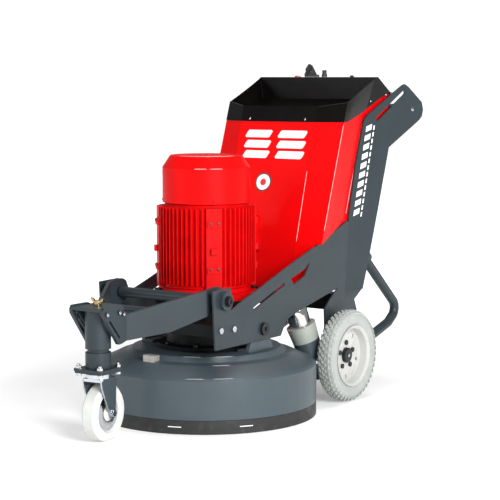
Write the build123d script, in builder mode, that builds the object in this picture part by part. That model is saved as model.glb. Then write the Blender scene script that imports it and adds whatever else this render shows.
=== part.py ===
"""Walk-behind planetary concrete grinder: chassis, tilting grinding head, folding front caster."""

import os
from math import atan2, cos, degrees, hypot, radians, sin

from build123d import *

os.makedirs("parts", exist_ok=True)

# ---------------------------------------------------------------- driving sizes (mm)
HEAD_Y = -164.5          # grinding-head axis, measured from the middle of the overall length
SHEET = 3.0              # folded sheet covers
RUN = 0.05               # radial running clearance of a shaft in its bore

# grinding head
cover_r = 370.0
cover_wall_top = 170.0
cover_step_r = 296.0
cover_step_z = 208.0
cover_deck_r = 250.0
cover_deck_z = 228.0
cover_sheet = 4.4
skirt_top = 44.0
skirt_thick = 8.0

# planetary drum
drum_r = 345.0
drum_floor = 55.0
drum_plate = 10.0
drum_lid_z = 126.0
sat_count = 3
sat_pitch_r = 235.0
disc_r = 112.0
disc_z = 14.0
disc_thick = 12.0
segment_z = 2.0
spindle_r = 20.0
sat_pulley_r = 65.0
sun_pulley_r = 125.0
belt_thick = 6.0
belt_gap = 0.2
tier_z = 70.0
tier_pitch = 12.0
tier_height = 10.0
sun_tube_r = 65.0
sun_bore_r = 45.0
drum_shaft_r = 30.0

# reducer
reducer_r = 135.0
reducer_top = 395.0
gear_z = 274.0

# motor
motor_r = 163.0
barrel_r = 148.0
motor_bore_r = 132.0
flange_r = 175.0
flange_top = 415.0
barrel_bottom = 434.0
barrel_top = 700.0
cowl_r = 146.0
cowl_bottom = 712.0
cowl_shoulder = 828.0
cowl_top = 868.0
cowl_top_r = 118.0
fin_pitch = 17.0
fin_thick = 3.4
motor_shaft_r = 24.0
pad_low_z = 488.0
pad_mid_z = 550.0
pad_high_z = 638.0

# chassis plates
plate_x = 232.0
plate_thick = 6.0
pivot_z = 302.0
pin_r = 14.0
support_y = -223.0
support_z = 419.0
support_shaft_r = 17.0
fold_y = 513.0
fold_z = 376.0
fold_run = 25.0
fold_rise = 240.0
splay = 9.0

# rear wheels
wheel_y = 432.0
tyre_r = 160.0
tyre_in = 261.0
tyre_out = 323.0
rim_r = 107.0
rim_seat_r = 100.0
disc_x = 281.0
drive_shaft_r = 15.0

# front caster
caster_y = -569.0
caster_trail = 25.0
caster_turn = 6.6
caster_r = 90.0
caster_width = 50.0
sleeve_r = 40.0
post_r = 33.0

pieces = {}


def side(x):
    """Vertical plane at width x: sketch x runs rearward from the head axis, sketch y is height."""
    return Plane(origin=(x, HEAD_Y, 0), x_dir=(0, 1, 0), z_dir=(1, 0, 0))


def level(z, y=0.0, x=0.0):
    """Horizontal plane at height z, centred y behind the head axis."""
    return Plane(origin=(x, HEAD_Y + y, z))


def upright(y=0.0):
    """Vertical plane across the machine: sketch x is width or radius, sketch y is height."""
    return Plane(origin=(0, HEAD_Y + y, 0), x_dir=(1, 0, 0), z_dir=(0, -1, 0))


def lathe(points, x=0.0, y=0.0):
    """Body turned about the vertical line at (x, y) from (radius, height) points."""
    plane = Plane(origin=(x, HEAD_Y + y, 0), x_dir=(1, 0, 0), z_dir=(0, -1, 0))
    with BuildPart() as turned:
        with BuildSketch(plane):
            with BuildLine():
                Polyline(*points, close=True)
            make_face()
        revolve(axis=Axis((x, HEAD_Y + y, 0), (0, 0, 1)))
    return turned.part


def lathe_across(points, y, z):
    """Body turned about the crosswise line at (y, z) from (width, radius) points."""
    with BuildPart() as turned:
        with BuildSketch(level(z, y)):
            with BuildLine():
                Polyline(*points, close=True)
            make_face()
        revolve(axis=Axis((0, HEAD_Y + y, z), (1, 0, 0)))
    return turned.part


def mirrored(part):
    """The same piece on the other side of the machine."""
    return mirror(part, about=Plane.YZ)


def both_sides(part):
    """The piece and its mirror image as separate solids of one node."""
    return Compound(children=[part, mirror(part, about=Plane.YZ)])


# ================================================================ grinding head
cover_outer = [
    (cover_r - skirt_thick - 0.3, 20),
    (cover_r - skirt_thick - 0.3, skirt_top + 1),
    (cover_r, skirt_top + 1),
    (cover_r, cover_wall_top),
    (cover_r - 8, cover_wall_top + 7),
    (cover_step_r, cover_step_z),
    (cover_deck_r + 18, cover_step_z + 5),
    (cover_deck_r, cover_deck_z),
    (70, cover_deck_z),
]
cover_inner = [
    (70, cover_deck_z - cover_sheet),
    (cover_deck_r - 2, cover_deck_z - cover_sheet),
    (cover_deck_r + 16, cover_step_z + 5 - cover_sheet),
    (cover_step_r - 2, cover_step_z - cover_sheet),
    (cover_r - cover_sheet - 6, cover_wall_top + 1),
    (cover_r - cover_sheet, cover_wall_top - 3),
    (cover_r - cover_sheet, skirt_top + 6),
    (cover_r - skirt_thick - cover_sheet, skirt_top + 2),
    (cover_r - skirt_thick - cover_sheet, 20),
]

# dust port on the rear right of the cover: a chute on the wall with a stub pipe above it
port_x = 196.0
port_y = 327.0
port_z = 201.0
port_angle = degrees(atan2(port_y, port_x))
port_lean = 20.7
pipe_r = 38.0
spigot_r = 39.0
spigot_length = 60.0
spigot_end = (140.0, 470.0, 405.0)
stub_r = 44.0
radial = (cos(radians(port_angle)), sin(radians(port_angle)))
lean = (
    -radial[0] * sin(radians(port_lean)),
    -radial[1] * sin(radians(port_lean)),
    cos(radians(port_lean)),
)


def port_plane(along):
    """Plane square to the leaning dust pipe, a distance along it from the port centre."""
    return Plane(
        origin=(
            port_x + lean[0] * along,
            HEAD_Y + port_y + lean[1] * along,
            port_z + lean[2] * along,
        ),
        x_dir=(-radial[1], radial[0], 0),
        z_dir=lean,
    )


chute = Plane(origin=(0, HEAD_Y, 84), x_dir=(radial[0], radial[1], 0), z_dir=(0, 0, 1))
shell_outer = cover_outer + cover_inner
with BuildPart() as head_cover:
    add(lathe(shell_outer))
    with BuildSketch(chute):
        with Locations((345, 0)):
            Rectangle(122, 84)
    extrude(amount=84)
    with BuildSketch(port_plane(-50)):
        Circle(stub_r + 3)
    extrude(amount=69.9)
    with BuildSketch(level(50)):
        Circle(cover_r - cover_sheet - 1)
    extrude(amount=cover_wall_top - 56, mode=Mode.SUBTRACT)
    with BuildSketch(port_plane(-70)):
        Circle(stub_r - 1)
    extrude(amount=90, mode=Mode.SUBTRACT)
    with BuildSketch(chute.offset(6)):
        with Locations((350, 0)):
            Rectangle(100, 72)
    extrude(amount=72, mode=Mode.SUBTRACT)
    with BuildSketch(level(cover_deck_z - 20)):
        with PolarLocations(152, 8, 22.5):
            Circle(5.3)
    extrude(amount=40, mode=Mode.SUBTRACT)
pieces["head_cover"] = head_cover.part

pieces["dust_skirt"] = lathe([
    (cover_r - skirt_thick, 0),
    (cover_r, 0),
    (cover_r, skirt_top),
    (cover_r - skirt_thick, skirt_top),
])

with BuildPart() as dust_cuff:
    with BuildSketch(port_plane(20)):
        Circle(stub_r + 3)
    with BuildSketch(port_plane(78)):
        Circle(stub_r + 8)
    loft()
    with BuildSketch(port_plane(20)):
        Circle(stub_r - 1)
    with BuildSketch(port_plane(78)):
        Circle(pipe_r + 0.2)
    loft(mode=Mode.SUBTRACT)
pieces["dust_cuff"] = dust_cuff.part

pipe_start = port_plane(40).origin
pipe_knee = port_plane(150).origin
pipe_end = Vector(spigot_end[0], HEAD_Y + spigot_end[1], spigot_end[2])
pipe_bend = pipe_end - Vector(0, spigot_length + 12, 0)
spigot = Plane(origin=pipe_end, x_dir=(1, 0, 0), z_dir=(0, -1, 0))
with BuildPart() as dust_pipe:
    with BuildLine():
        FilletPolyline(pipe_start, pipe_knee, pipe_bend, pipe_end, radius=42)
    with BuildSketch(Plane(origin=pipe_start, z_dir=lean)):
        Circle(pipe_r)
        Circle(pipe_r - 2, mode=Mode.SUBTRACT)
    sweep()
    with BuildSketch(spigot):
        Circle(spigot_r)
        Circle(pipe_r - 2, mode=Mode.SUBTRACT)
    extrude(amount=spigot_length)
pieces["dust_pipe"] = dust_pipe.part

latch_angle = -94.0
hull_under = lathe([(0, 100), (cover_outer[3][0], 100)] + cover_outer[3:])
latch_plane = Plane(
    origin=(0, HEAD_Y, 200),
    x_dir=(cos(radians(latch_angle)), sin(radians(latch_angle)), 0),
    z_dir=(0, 0, 1),
)
with BuildPart() as inspection_latch:
    with BuildSketch(latch_plane):
        with Locations((279, 0)):
            Rectangle(28, 46)
    extrude(amount=30)
    add(hull_under, mode=Mode.SUBTRACT)
pieces["inspection_latch"] = inspection_latch.part

pieces["sun_pulley"] = lathe([
    (sun_bore_r, tier_z),
    (sun_pulley_r, tier_z),
    (sun_pulley_r, tier_z + sat_count * tier_pitch - 2),
    (sun_tube_r, tier_z + sat_count * tier_pitch - 2),
    (sun_tube_r, cover_deck_z - 17),
    (95, cover_deck_z - 17),
    (95, cover_deck_z - cover_sheet - 0.1),
    (sun_bore_r, cover_deck_z - cover_sheet - 0.1),
])

with BuildPart() as trunnion:
    with BuildSketch(side(208)):
        with BuildLine():
            Polyline((-70, 228.2), (70, 228.2), (70, 240), (24, 318), (-24, 318), (-70, 240), close=True)
        make_face()
        with Locations((0, pivot_z)):
            Circle(26)
            Circle(pin_r + RUN, mode=Mode.SUBTRACT)
    extrude(amount=13)
    with BuildSketch(level(228.2, 0, 192)):
        Rectangle(34, 140)
    extrude(amount=10)
pieces["trunnion_brackets"] = both_sides(trunnion.part)

# ---------------------------------------------------------------- planetary drum
with BuildPart() as drum_base:
    with BuildSketch(level(drum_floor)):
        Circle(drum_r)
        Circle(drum_shaft_r + 0.1, mode=Mode.SUBTRACT)
        with PolarLocations(sat_pitch_r, sat_count):
            Circle(40.2, mode=Mode.SUBTRACT)
    extrude(amount=drum_plate)
pieces["drum_base"] = drum_base.part

lid_floor = drum_floor + drum_plate + 0.2
pieces["drum_lid"] = lathe([
    (sun_tube_r + 10, drum_lid_z),
    (drum_r - 5, drum_lid_z),
    (drum_r - 5, lid_floor),
    (drum_r, lid_floor),
    (drum_r, drum_lid_z + 6),
    (sun_tube_r + 10, drum_lid_z + 6),
])

with BuildPart() as drum_shaft:
    add(lathe([
        (0, drum_floor - 10),
        (66, drum_floor - 10),
        (66, drum_floor - 0.2),
        (drum_shaft_r, drum_floor - 0.2),
        (drum_shaft_r, gear_z),
        (0, gear_z),
    ]))
pieces["drum_shaft"] = drum_shaft.part

with BuildPart() as sat_bearings:
    with BuildSketch(level(drum_floor - 3)):
        with PolarLocations(sat_pitch_r, sat_count):
            Circle(40)
            Circle(spindle_r + RUN, mode=Mode.SUBTRACT)
    extrude(amount=15)
pieces["satellite_bearings"] = sat_bearings.part

sat_angles = [k * 360 / sat_count for k in range(sat_count)]


def sat_xy(k):
    """Satellite centre, from the head axis."""
    angle = radians(sat_angles[k])
    return sat_pitch_r * cos(angle), sat_pitch_r * sin(angle)


belts = []
for k in range(sat_count):
    sx, sy = sat_xy(k)
    tier = tier_z + k * tier_pitch
    pieces[f"satellite_spindle_{k + 1}"] = lathe([
        (0, disc_z + disc_thick + 0.1),
        (36, disc_z + disc_thick + 0.1),
        (36, disc_z + disc_thick + 12),
        (spindle_r, disc_z + disc_thick + 16),
        (spindle_r, tier),
        (sat_pulley_r, tier),
        (sat_pulley_r, tier + tier_height),
        (spindle_r, tier + tier_height),
        (spindle_r, drum_lid_z - 5),
        (0, drum_lid_z - 5),
    ], sx, sy)
    with BuildPart() as grinding_disc:
        with BuildSketch(level(disc_z, sy, sx)):
            Circle(disc_r)
            Circle(14, mode=Mode.SUBTRACT)
        extrude(amount=disc_thick)
        chamfer(grinding_disc.edges().group_by(Axis.Z)[-1].sort_by(SortBy.LENGTH)[-1], 3)
    pieces[f"grinding_disc_{k + 1}"] = grinding_disc.part
    with BuildPart() as segments:
        with BuildSketch(level(segment_z, sy, sx)):
            with PolarLocations(88, 6):
                SlotOverall(40, 18, rotation=90)
        extrude(amount=disc_z - segment_z - 0.1)
    pieces[f"diamond_segments_{k + 1}"] = segments.part
    with BuildPart() as belt:
        with BuildSketch(level(tier + 1)):
            Circle(sun_pulley_r + belt_gap + belt_thick)
            with Locations((sx, sy)):
                Circle(sat_pulley_r + belt_gap + belt_thick)
            make_hull()
        extrude(amount=tier_height - 2)
        with BuildSketch(level(tier + 1)):
            Circle(sun_pulley_r + belt_gap)
            with Locations((sx, sy)):
                Circle(sat_pulley_r + belt_gap)
            make_hull()
        extrude(amount=tier_height - 2, mode=Mode.SUBTRACT)
    belts.append(belt.part)
pieces["satellite_belts"] = Compound(children=belts)

# ---------------------------------------------------------------- reducer
pieces["reducer_housing"] = lathe([
    (60.2, cover_deck_z + 0.1),
    (165, cover_deck_z + 0.1),
    (165, cover_deck_z + 14),
    (reducer_r, cover_deck_z + 18),
    (reducer_r, reducer_top - 12),
    (flange_r, reducer_top - 12),
    (flange_r, reducer_top),
    (motor_shaft_r + 8, reducer_top),
    (motor_shaft_r + 8, reducer_top - 12),
    (reducer_r - 9, reducer_top - 20),
    (reducer_r - 9, cover_deck_z + 32),
    (60.2, cover_deck_z + 32),
])
with BuildPart() as head_bolts:
    with BuildSketch(level(cover_deck_z - 12)):
        with PolarLocations(152, 8, 22.5):
            Circle(5)
    extrude(amount=12.1)
    with BuildSketch(level(cover_deck_z + 16.1)):
        with PolarLocations(152, 8, 22.5):
            RegularPolygon(9, 6)
    extrude(amount=7)
    with BuildSketch(level(cover_deck_z + 0.1)):
        with PolarLocations(152, 8, 22.5):
            Circle(5)
    extrude(amount=16)
    for turn in (45, 135, 225, 315):
        angle = radians(turn)
        add(lathe([
            (0, reducer_top - 24),
            (9, reducer_top - 24),
            (9, reducer_top - 12.1),
            (7, reducer_top - 12.1),
            (7, flange_top + 0.1),
            (12, flange_top + 0.1),
            (12, flange_top + 10),
            (0, flange_top + 10),
        ], 164 * cos(angle), 164 * sin(angle)))
pieces["head_bolts"] = head_bolts.part
with BuildPart() as reducer_housing:
    add(pieces["reducer_housing"])
    with BuildSketch(level(cover_deck_z - 1)):
        with PolarLocations(152, 8, 22.5):
            Circle(5.2)
    extrude(amount=17, mode=Mode.SUBTRACT)
    with BuildSketch(level(cover_deck_z + 15)):
        with PolarLocations(152, 8, 22.5):
            Circle(12)
    extrude(amount=16, mode=Mode.SUBTRACT)
    with BuildSketch(level(reducer_top - 14)):
        with PolarLocations(164, 4, 45):
            Circle(7.1)
    extrude(amount=20, mode=Mode.SUBTRACT)
pieces["reducer_housing"] = reducer_housing.part

# ---------------------------------------------------------------- drive motor
with BuildPart() as motor_frame:
    with BuildSketch(level(barrel_bottom)):
        Circle(barrel_r)
        with GridLocations(fin_pitch, 0, 13, 1):
            Rectangle(fin_thick, 2 * motor_r + 2)
        with GridLocations(0, fin_pitch, 1, 13):
            Rectangle(2 * motor_r + 2, fin_thick)
        Circle(motor_r, mode=Mode.INTERSECT)
        with PolarLocations(0, 4, 45):
            with Locations((motor_r - 8, 0)):
                Rectangle(18, 52)
        Circle(motor_bore_r, mode=Mode.SUBTRACT)
    extrude(amount=barrel_top - barrel_bottom)
    with BuildSketch(level(barrel_bottom)):
        Circle(motor_r + 8)
        Circle(barrel_r, mode=Mode.SUBTRACT)
        with PolarLocations(0, 4, 45):
            with Locations((motor_r - 8, 0)):
                Rectangle(60, 60, mode=Mode.SUBTRACT)
    extrude(amount=12, mode=Mode.SUBTRACT)
    for z in (pad_low_z, pad_high_z):
        with BuildSketch(level(z)):
            with PolarLocations(motor_r + 2, 4, 45):
                Rectangle(8, 46)
        extrude(amount=20)
    with BuildSketch(level(pad_mid_z)):
        with PolarLocations(motor_r + 5, 4, 45):
            Rectangle(14, 22)
    extrude(amount=20)
    add(lathe([
        (40.3, barrel_top - 14),
        (motor_bore_r + 2, barrel_top - 14),
        (motor_bore_r + 2, barrel_top),
        (barrel_r - 6, barrel_top),
        (barrel_r - 12, cowl_bottom),
        (60, cowl_bottom + 8),
        (40.3, cowl_bottom + 16),
    ]))
pieces["motor_frame"] = motor_frame.part

pieces["motor_flange"] = lathe([
    (45.3, reducer_top + 0.1),
    (flange_r, reducer_top + 0.1),
    (flange_r, flange_top),
    (150, flange_top + 4),
    (142, barrel_bottom - 0.2),
    (45.3, barrel_bottom - 0.2),
])
with BuildPart() as head_bearings:
    add(lathe([
        (motor_shaft_r + RUN, flange_top),
        (45, flange_top),
        (45, flange_top + 30),
        (motor_shaft_r + RUN, flange_top + 30),
    ]))
    add(lathe([
        (motor_shaft_r + RUN, barrel_top + 2),
        (40, barrel_top + 2),
        (40, barrel_top + 24),
        (motor_shaft_r + RUN, barrel_top + 24),
    ]))
    add(lathe([
        (drum_shaft_r + RUN, cover_deck_z + 4),
        (60, cover_deck_z + 4),
        (60, cover_deck_z + 28),
        (drum_shaft_r + RUN, cover_deck_z + 28),
    ]))
pieces["head_bearings"] = head_bearings.part
with BuildPart() as motor_cowl:
    add(lathe([
        (cowl_r - 2.5, cowl_bottom),
        (cowl_r, cowl_bottom),
        (cowl_r, cowl_shoulder),
        (cowl_top_r + 4, cowl_top - 3),
        (cowl_top_r, cowl_top),
        (0, cowl_top),
        (0, cowl_top - 2.5),
        (cowl_top_r, cowl_top - 2.5),
        (cowl_r - 2.5, cowl_shoulder - 2),
    ]))
    with BuildSketch(level(cowl_top - 6)):
        for ring, holes in ((30, 8), (48, 14), (66, 20), (84, 26), (100, 32)):
            with PolarLocations(ring, holes):
                Circle(4.5)
    extrude(amount=10, mode=Mode.SUBTRACT)
pieces["motor_cowl"] = motor_cowl.part
pieces["motor_stator"] = lathe([
    (96, 500),
    (motor_bore_r - 0.1, 500),
    (motor_bore_r - 0.1, 660),
    (96, 660),
])
pieces["motor_rotor"] = lathe([
    (0, gear_z + 8),
    (20, gear_z + 8),
    (20, 380),
    (motor_shaft_r, 384),
    (motor_shaft_r, 500),
    (95, 500),
    (95, 660),
    (motor_shaft_r, 660),
    (motor_shaft_r, 770),
    (0, 770),
])
with BuildPart() as motor_fan:
    add(lathe([
        (motor_shaft_r + 0.01, 735),
        (110, 735),
        (110, 738),
        (40, 738),
        (36, 766),
        (motor_shaft_r + 0.01, 766),
    ]))
    with BuildSketch(level(738)):
        with PolarLocations(75, 9):
            Rectangle(72, 4)
    extrude(amount=44)
pieces["motor_fan"] = motor_fan.part
with BuildPart() as terminal_box:
    with BuildSketch(upright(motor_r + 1)):
        with Locations((0, 590)):
            RectangleRounded(118, 118, 8)
    extrude(amount=-62)
    with BuildSketch(upright(motor_r + 63)):
        with Locations((0, 590)):
            RectangleRounded(126, 126, 8)
    extrude(amount=-8)
pieces["terminal_box"] = terminal_box.part
with BuildPart() as motor_flange:
    add(pieces["motor_flange"])
    with BuildSketch(level(reducer_top - 2)):
        with PolarLocations(164, 4, 45):
            Circle(7.1)
    extrude(amount=40, mode=Mode.SUBTRACT)
    with BuildSketch(level(flange_top)):
        with PolarLocations(164, 4, 45):
            Circle(13)
    extrude(amount=40, mode=Mode.SUBTRACT)
pieces["motor_flange"] = motor_flange.part

# ================================================================ chassis
fold_len = hypot(fold_run, fold_rise)
fold_up = (0, fold_run / fold_len, fold_rise / fold_len)
fold_back = (
    sin(radians(splay)),
    cos(radians(splay)) * fold_rise / fold_len,
    -cos(radians(splay)) * fold_run / fold_len,
)
column = Plane(
    origin=(plate_x, HEAD_Y + fold_y, fold_z),
    x_dir=fold_back,
    z_dir=Vector(*fold_back).cross(Vector(*fold_up)),
)
arm_outline = [
    (-285, 456), (-187, 458), (-187, 384), (-115, 411), (-23, 439), (96, 478),
    (200, 512), (352, 557), (524, 619), (538, 616), (513, 376), (513, 340),
    (579, 336), (597, 298), (480, 122), (392, 122), (380, 324), (413, 352),
    (466, 388), (295, 353), (219, 338), (151, 320), (133, 309), (103, 266), (-271, 266),
]
column_outline = [
    (-1, -8), (100, 5), (122, 106), (162, 309), (200, 519), (366, 630), (384, 648), (388, 672),
    (378, 699), (292, 748), (272, 755), (258, 750), (199, 712), (69, 625), (52, 606), (20, 444), (-1, 262),
]
window = [(163, 451), (182, 429), (250, 452), (269, 475), (282, 497), (244, 474)]
side_bolts = [(-248, 327), (-176, 324)]

with BuildPart() as side_plate:
    with BuildSketch(side(plate_x - plate_thick)):
        with BuildLine():
            Polyline(*arm_outline, close=True)
        make_face()
        with BuildLine():
            Polyline(*window, close=True)
        make_face(mode=Mode.SUBTRACT)
        with Locations((33, 406.5)):
            SlotOverall(196, 8, rotation=18.7, mode=Mode.SUBTRACT)
        with Locations((0, pivot_z)):
            Circle(pin_r + 0.02, mode=Mode.SUBTRACT)
        with Locations((support_y, support_z)):
            Circle(support_shaft_r + 0.02, mode=Mode.SUBTRACT)
        with Locations(*side_bolts):
            Circle(6.1, mode=Mode.SUBTRACT)
        with Locations((wheel_y, tyre_r)):
            Circle(34.2, mode=Mode.SUBTRACT)
    extrude(amount=plate_thick)
    with BuildSketch(column):
        with BuildLine():
            Polyline(*column_outline, close=True)
        make_face()
        with Locations((195, 670)):
            SlotOverall(192, 14, rotation=37.2, mode=Mode.SUBTRACT)
    extrude(amount=-plate_thick)
    for z, foot in ((336, [(0, 512), (0, 579)]), (374, [(0, 512), (15.8, 611)])):
        with BuildSketch(level(z)):
            with BuildLine():
                Polyline(
                    (plate_x - plate_thick + foot[0][0], foot[0][1]),
                    (plate_x + foot[0][0], foot[0][1]),
                    (plate_x + foot[1][0], foot[1][1]),
                    (plate_x - plate_thick + foot[1][0], foot[1][1]),
                    close=True,
                )
            make_face()
    loft(ruled=True)
    with BuildSketch(side(plate_x)):
        with Locations((support_y, support_z)):
            Circle(30)
            Circle(support_shaft_r + 0.02, mode=Mode.SUBTRACT)
    extrude(amount=14)
pieces["side_plate_right"] = side_plate.part
pieces["side_plate_left"] = mirrored(side_plate.part)

with BuildPart() as beams:
    with BuildSketch(side(-plate_x + plate_thick + 0.1)):
        with Locations((-212, 320)):
            Rectangle(50, 40)
            Rectangle(40, 30, mode=Mode.SUBTRACT)
    extrude(amount=2 * (plate_x - plate_thick) - 0.2)
    for hand in (1, -1):
        with BuildSketch(upright(-236)):
            with BuildLine():
                Polyline(
                    (hand * (plate_x - plate_thick - 0.1), 284),
                    (hand * (plate_x - plate_thick - 0.1), 338),
                    (hand * 130, 338),
                    (hand * 130, 318),
                    close=True,
                )
            make_face()
        extrude(amount=-30)
    for x0 in (-plate_x + plate_thick + 0.1, plate_x - plate_thick - 6.1):
        with BuildSketch(side(x0)):
            with Locations((-212, 314)):
                Rectangle(96, 62)
            with Locations(*side_bolts):
                Circle(6.1, mode=Mode.SUBTRACT)
        extrude(amount=6)
    with BuildSketch(side(-plate_x + plate_thick + 0.1)):
        with Locations((548, 328)):
            Rectangle(58, 58)
            Rectangle(50, 50, mode=Mode.SUBTRACT)
    extrude(amount=2 * (plate_x - plate_thick) - 0.2)
with BuildPart() as support_shaft:
    with BuildSketch(side(-plate_x - 20)):
        with Locations((support_y, support_z)):
            Circle(support_shaft_r)
    extrude(amount=2 * plate_x + 40)
pieces["chassis_beams"] = Compound(children=[*beams.part.solids(), support_shaft.part])

with BuildPart() as frame_bolt:
    with BuildSketch(side(plate_x - 22)):
        with Locations(*side_bolts):
            Circle(6)
    extrude(amount=22.1)
    with BuildSketch(side(plate_x + 0.1)):
        with Locations(*side_bolts):
            RegularPolygon(11, 6)
    extrude(amount=8)
pieces["frame_bolts"] = both_sides(frame_bolt.part)

with BuildPart() as pivot_pin:
    with BuildSketch(side(206)):
        with Locations((0, pivot_z)):
            Circle(pin_r)
    extrude(amount=26.1)
    with BuildSketch(side(plate_x + 0.1)):
        with Locations((0, pivot_z)):
            Circle(21)
            RegularPolygon(8, 6, mode=Mode.SUBTRACT)
    extrude(amount=9)
    with BuildSketch(side(plate_x + 0.1)):
        with Locations((0, pivot_z)):
            Circle(9)
    extrude(amount=4)
with BuildPart() as shaft_screw:
    with BuildSketch(side(plate_x + 20.1)):
        with Locations((support_y, support_z)):
            Circle(13)
            RegularPolygon(7, 6, mode=Mode.SUBTRACT)
    extrude(amount=6)
    with BuildSketch(side(plate_x + 20.1)):
        with Locations((support_y, support_z)):
            Circle(9)
    extrude(amount=2.5)
pieces["pivot_pins"] = Compound(children=[
    pivot_pin.part,
    mirrored(pivot_pin.part),
    shaft_screw.part,
    mirrored(shaft_screw.part),
])

guard_points = [
    (205, HEAD_Y + 650, 507), (205, HEAD_Y + 940, 262), (205, HEAD_Y + 868, 214), (205, HEAD_Y + 560, 128),
]
with BuildPart() as guard_tube:
    with BuildLine():
        FilletPolyline(*guard_points, radius=36)
    with BuildSketch(Plane(origin=guard_points[0], z_dir=(0, 0.77, -0.64))):
        Circle(17.5)
    sweep()
    with BuildSketch(side(205)):
        with Locations((662, 490)):
            SlotOverall(60, 22, rotation=-40)
    extrude(amount=35)
    with BuildSketch(side(205)):
        with BuildLine():
            Polyline((590, 126), (600, 150), (520, 210), (470, 190), (500, 128), close=True)
        make_face()
    extrude(amount=20.9)
pieces["guard_tubes"] = both_sides(guard_tube.part)

bar_t = 330.0
bar_s = 672.0
bar_mid = column.from_local_coords((bar_t, bar_s, 0))
bar_half = bar_mid.X - plate_thick - 3.2
with BuildPart() as push_bar:
    with BuildSketch(Plane(origin=(-bar_half, bar_mid.Y, bar_mid.Z), z_dir=(1, 0, 0))):
        Circle(16)
    extrude(amount=2 * bar_half)
pieces["push_bar"] = push_bar.part

# ---------------------------------------------------------------- cabinet
hood_foot = 518.0
hood_head = 1060.0
hood_low = 380.0
cowl_flare = 18.0


def hood_half(z, grow=0.0, flare=0.0):
    """Right half of the cabinet outline at height z, grown outward, its rear flared above 960."""
    up = z - hood_foot
    rear = 0.02 * up + grow + flare * (z - 960) / 165
    return [
        (155 + grow * 0.2, 303 + 0.28 * up - grow),
        (250 + grow, 316 + 0.345 * up - grow * 0.8),
        (220 + rear, 493 + 0.31 * up),
        (234 + rear, 640 + 0.30 * up + grow),
    ]


def hood_ring(z, grow=0.0, flare=0.0):
    """Closed cabinet outline at height z."""
    half = hood_half(z, grow, flare)
    return half + [(-x, y) for x, y in reversed(half)]


def hood_block(z0, z1, grow=0.0, flare=0.0):
    """Cabinet volume between two heights."""
    with BuildPart() as block:
        for z in (z0, z1):
            with BuildSketch(level(z)):
                with BuildLine():
                    Polyline(*hood_ring(z, grow, flare), close=True)
                make_face()
        loft(ruled=True)
    return block.part


def profile_prism(points, x0, x1):
    """Side profile swept across the machine from x0 to x1."""
    with BuildPart() as prism:
        with BuildSketch(side(x0)):
            with BuildLine():
                Polyline(*points, close=True)
            make_face()
        extrude(amount=x1 - x0)
    return prism.part


hood_sides = [
    (200, 387), (266, 387), (520, hood_foot), (900, hood_foot), (900, 1080), (800, 1066), (742, 1056),
    (620, 999), (500, 969), (200, 967),
]
plate_notch = [
    (200, 350), (200, 515), (352, 560), (524, 622), (536, 632), (600, 640), (900, 640), (900, 350),
]
hood_outer = hood_block(hood_low, hood_head + 60)
hood_inner = hood_block(hood_low - 10, hood_head + 80, -SHEET)
with BuildPart() as hood:
    add(hood_outer)
    add(hood_inner, mode=Mode.SUBTRACT)
    add(profile_prism(hood_sides, -300, 300), mode=Mode.INTERSECT)
    for x0, x1 in ((224.5, 300), (-300, -224.5)):
        add(profile_prism(plate_notch, x0, x1), mode=Mode.SUBTRACT)
    with BuildSketch(Plane(origin=(0, HEAD_Y + 640, hood_foot), x_dir=(1, 0, 0), z_dir=(0, 1, -0.30))):
        with Locations((0, -300)):
            Rectangle(430, 900)
    extrude(amount=40, both=True, mode=Mode.SUBTRACT)
pieces["hood"] = hood.part


cowl_gap = 0.6
cowl_sides = [
    (250, 967 + cowl_gap), (500, 969 + cowl_gap), (620, 999 + cowl_gap), (742, 1056 + cowl_gap),
    (800, 1068), (783, 1071), (699, 1125), (640, 1099), (500, 1038), (448, 1023), (250, 1023),
]
tray_well = [(250, 992), (560, 992), (620, 1010), (692, 1046), (692, 1200), (250, 1200)]
panel_well = [
    (560, 900), (560, 986), (620, 1004), (692, 1040), (702, 1046), (702, 1112), (795, 1056), (795, 900),
]
front_well = [(250, 900), (560, 900), (560, 986), (250, 986)]


def cowl_hollow(profile):
    """Part of the space inside the cowl sheet, bounded by a side profile."""
    with BuildPart() as hollow:
        add(hood_block(890, 1210, -2.5, cowl_flare))
        add(profile_prism(profile, -300, 300), mode=Mode.INTERSECT)
    return hollow.part


with BuildPart() as top_cowl:
    add(hood_block(960, 1140, 1.0, cowl_flare))
    add(profile_prism(cowl_sides, -300, 300), mode=Mode.INTERSECT)
    for profile in (tray_well, panel_well, front_well):
        add(cowl_hollow(profile), mode=Mode.SUBTRACT)
pieces["top_cowl"] = top_cowl.part

# sloped operator panel on the rear of the cowl
panel_tilt = degrees(atan2(1125 - 1071, 783 - 699))
panel = Plane(
    origin=(0, HEAD_Y + 741, 1098),
    x_dir=(1, 0, 0),
    z_dir=(0, sin(radians(panel_tilt)), cos(radians(panel_tilt))),
)
with BuildPart() as estop_cap:
    with BuildSketch(panel.offset(6)):
        with Locations((-120, 0)):
            Circle(8)
    extrude(amount=10)
    with BuildSketch(panel.offset(16)):
        with Locations((-120, 0)):
            Circle(19)
    extrude(amount=12, taper=12)
pieces["estop_button"] = estop_cap.part
with BuildPart() as panel_fittings:
    with BuildSketch(panel.offset(0.3)):
        with Locations((-120, 0)):
            Circle(22)
            Circle(8.1, mode=Mode.SUBTRACT)
        with Locations((120, 0)):
            Rectangle(60, 60)
            Circle(7.1, mode=Mode.SUBTRACT)
        with Locations((0, 0)):
            Rectangle(110, 50)
    extrude(amount=5)
pieces["panel_fittings"] = panel_fittings.part
with BuildPart() as main_switch:
    with BuildSketch(panel.offset(1.5)):
        with Locations((120, 0)):
            Circle(7)
    extrude(amount=6)
    with BuildSketch(panel.offset(6)):
        with Locations((120, 0)):
            Circle(22)
    extrude(amount=6)
    with BuildSketch(panel.offset(12)):
        with Locations((120, 0)):
            Rectangle(11, 42)
    extrude(amount=14)
pieces["main_switch"] = main_switch.part

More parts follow.
